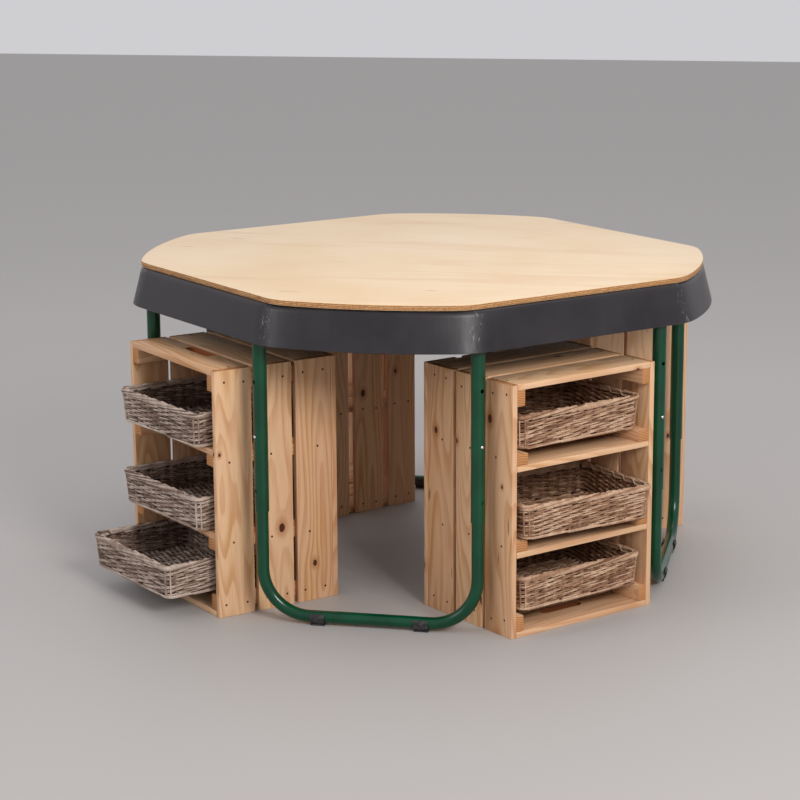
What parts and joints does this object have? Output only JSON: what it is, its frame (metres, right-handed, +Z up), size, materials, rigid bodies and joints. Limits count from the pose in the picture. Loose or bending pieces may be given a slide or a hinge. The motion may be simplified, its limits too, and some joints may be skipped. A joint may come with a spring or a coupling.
{
  "type": "kids table with storage crates",
  "caption": "Octagonal activity table with loose ply lid, moulded tray and height-adjustable tube stand over pine crates holding willow baskets.",
  "frame": {"origin": "middle of the object's box, on the floor", "axes": "+Z up, -Y towards the side where a child sits with a filled crate at each hand, +X to that child's right as seen from outside"},
  "size_m": [1.1312, 1.113, 0.6],
  "materials": {
    "birch_ply": "clear lacquered birch plywood",
    "tray_plastic": "satin charcoal moulded polyethylene",
    "stand_paint": "glossy deep green powder coat on steel tube",
    "bare_steel": "bright plated spring steel",
    "foot_plastic": "dark moulded plastic",
    "pine": "unfinished planed pine with knots",
    "willow_grey": "grey-brown woven willow",
    "willow_tan": "tan woven willow"
  },
  "bodies": {
    "floor_hoops": {"floor_hoop_front": "stand_paint", "floor_hoop_right": "stand_paint", "floor_hoop_rear": "stand_paint", "floor_hoop_left": "stand_paint", "foot_front_a": "foot_plastic", "foot_front_b": "foot_plastic", "foot_right_a": "foot_plastic", "foot_right_b": "foot_plastic", "foot_rear_a": "foot_plastic", "foot_rear_b": "foot_plastic", "foot_left_a": "foot_plastic", "foot_left_b": "foot_plastic"},
    "upper_frame": {"upper_frame": "stand_paint"},
    "tray": {"tray": "tray_plastic"},
    "lid": {"lid_board": "birch_ply"},
    "crate_front_left": {"crate_front_left_left_side": "pine", "crate_front_left_right_side": "pine", "crate_front_left_top_end": "pine", "crate_front_left_bottom_end": "pine", "crate_front_left_shelf_lower": "pine", "crate_front_left_shelf_upper": "pine", "crate_front_left_back_board_1": "pine", "crate_front_left_back_board_2": "pine", "crate_front_left_back_board_3": "pine", "crate_front_left_back_board_4": "pine"},
    "basket_front_left_top": {"basket_front_left_top": "willow_grey"},
    "basket_front_left_middle": {"basket_front_left_middle": "willow_grey"},
    "basket_front_left_bottom": {"basket_front_left_bottom": "willow_grey"},
    "crate_front_right": {"crate_front_right_left_side": "pine", "crate_front_right_right_side": "pine", "crate_front_right_top_end": "pine", "crate_front_right_bottom_end": "pine", "crate_front_right_shelf_lower": "pine", "crate_front_right_shelf_upper": "pine", "crate_front_right_back_board_1": "pine", "crate_front_right_back_board_2": "pine", "crate_front_right_back_board_3": "pine", "crate_front_right_back_board_4": "pine"},
    "basket_front_right_top": {"basket_front_right_top": "willow_tan"},
    "basket_front_right_middle": {"basket_front_right_middle": "willow_tan"},
    "basket_front_right_bottom": {"basket_front_right_bottom": "willow_tan"},
    "crate_rear_left": {"crate_rear_left_left_side": "pine", "crate_rear_left_right_side": "pine", "crate_rear_left_top_end": "pine", "crate_rear_left_bottom_end": "pine", "crate_rear_left_back_and_shelf": "pine"},
    "crate_rear_right": {"crate_rear_right_left_side": "pine", "crate_rear_right_right_side": "pine", "crate_rear_right_top_end": "pine", "crate_rear_right_bottom_end": "pine", "crate_rear_right_back_and_shelf": "pine"},
    "snap_button_front_a": {"snap_button_front_a": "bare_steel"},
    "snap_button_front_b": {"snap_button_front_b": "bare_steel"},
    "snap_button_right_a": {"snap_button_right_a": "bare_steel"},
    "snap_button_right_b": {"snap_button_right_b": "bare_steel"},
    "snap_button_rear_a": {"snap_button_rear_a": "bare_steel"},
    "snap_button_rear_b": {"snap_button_rear_b": "bare_steel"},
    "snap_button_left_a": {"snap_button_left_a": "bare_steel"},
    "snap_button_left_b": {"snap_button_left_b": "bare_steel"}
  },
  "joints": [
    {"name": "height_adjust", "type": "slide", "parent": "floor_hoops", "child": "upper_frame", "axis": [0, 0, 1], "range_m": [0, 0.1], "deforming": ["snap_button_front_a", "snap_button_front_b", "snap_button_right_a", "snap_button_right_b", "snap_button_rear_a", "snap_button_rear_b", "snap_button_left_a", "snap_button_left_b"]},
    {"name": "tray_lift", "type": "slide", "parent": "upper_frame", "child": "tray", "axis": [0, 0, 1], "range_m": [0, 0.25]},
    {"name": "lid_lift", "type": "slide", "parent": "tray", "child": "lid", "axis": [0, 0, 1], "range_m": [0, 0.25]},
    {"name": "crate_front_left_slide", "type": "slide", "parent": "floor_hoops", "child": "crate_front_left", "axis": [-0.7206, -0.6934, 0], "range_m": [0, 0.45]},
    {"name": "basket_front_left_top_slide", "type": "slide", "parent": "crate_front_left", "child": "basket_front_left_top", "axis": [-0.7206, -0.6934, 0], "range_m": [-0.055, 0.168]},
    {"name": "basket_front_left_middle_slide", "type": "slide", "parent": "crate_front_left", "child": "basket_front_left_middle", "axis": [-0.7206, -0.6934, 0], "range_m": [-0.054, 0.169]},
    {"name": "basket_front_left_bottom_slide", "type": "slide", "parent": "crate_front_left", "child": "basket_front_left_bottom", "axis": [-0.7206, -0.6934, 0], "range_m": [-0.12, 0.103]},
    {"name": "crate_front_right_slide", "type": "slide", "parent": "floor_hoops", "child": "crate_front_right", "axis": [0.7396, -0.673, 0], "range_m": [0, 0.45]},
    {"name": "basket_front_right_top_slide", "type": "slide", "parent": "crate_front_right", "child": "basket_front_right_top", "axis": [0.7396, -0.673, 0], "range_m": [-0.018, 0.209]},
    {"name": "basket_front_right_middle_slide", "type": "slide", "parent": "crate_front_right", "child": "basket_front_right_middle", "axis": [0.7396, -0.673, 0], "range_m": [-0.044, 0.172]},
    {"name": "basket_front_right_bottom_slide", "type": "slide", "parent": "crate_front_right", "child": "basket_front_right_bottom", "axis": [0.7396, -0.673, 0], "range_m": [-0.021, 0.205]},
    {"name": "crate_rear_left_slide", "type": "slide", "parent": "floor_hoops", "child": "crate_rear_left", "axis": [-0.7443, 0.6678, 0], "range_m": [0, 0.45]},
    {"name": "crate_rear_right_slide", "type": "slide", "parent": "floor_hoops", "child": "crate_rear_right", "axis": [0.7071, 0.7071, 0], "range_m": [0, 0.45]},
    {"name": "snap_button_front_a_press", "type": "slide", "parent": "floor_hoops", "child": "snap_button_front_a", "axis": [0.7176, 0.6964, 0], "range_m": [0, 0.0038], "stiffness_N_per_m": 500},
    {"name": "snap_button_front_b_press", "type": "slide", "parent": "floor_hoops", "child": "snap_button_front_b", "axis": [-0.6964, 0.7176, 0], "range_m": [0, 0.0038], "stiffness_N_per_m": 500},
    {"name": "snap_button_right_a_press", "type": "slide", "parent": "floor_hoops", "child": "snap_button_right_a", "axis": [-0.6964, 0.7176, 0], "range_m": [0, 0.0038], "stiffness_N_per_m": 500},
    {"name": "snap_button_right_b_press", "type": "slide", "parent": "floor_hoops", "child": "snap_button_right_b", "axis": [-0.7176, -0.6964, 0], "range_m": [0, 0.0038], "stiffness_N_per_m": 500},
    {"name": "snap_button_rear_a_press", "type": "slide", "parent": "floor_hoops", "child": "snap_button_rear_a", "axis": [-0.7176, -0.6964, 0], "range_m": [0, 0.0038], "stiffness_N_per_m": 500},
    {"name": "snap_button_rear_b_press", "type": "slide", "parent": "floor_hoops", "child": "snap_button_rear_b", "axis": [0.6964, -0.7176, 0], "range_m": [0, 0.0038], "stiffness_N_per_m": 500},
    {"name": "snap_button_left_a_press", "type": "slide", "parent": "floor_hoops", "child": "snap_button_left_a", "axis": [0.6964, -0.7176, 0], "range_m": [0, 0.0038], "stiffness_N_per_m": 500},
    {"name": "snap_button_left_b_press", "type": "slide", "parent": "floor_hoops", "child": "snap_button_left_b", "axis": [0.7176, 0.6964, 0], "range_m": [0, 0.0038], "stiffness_N_per_m": 500}
  ]
}
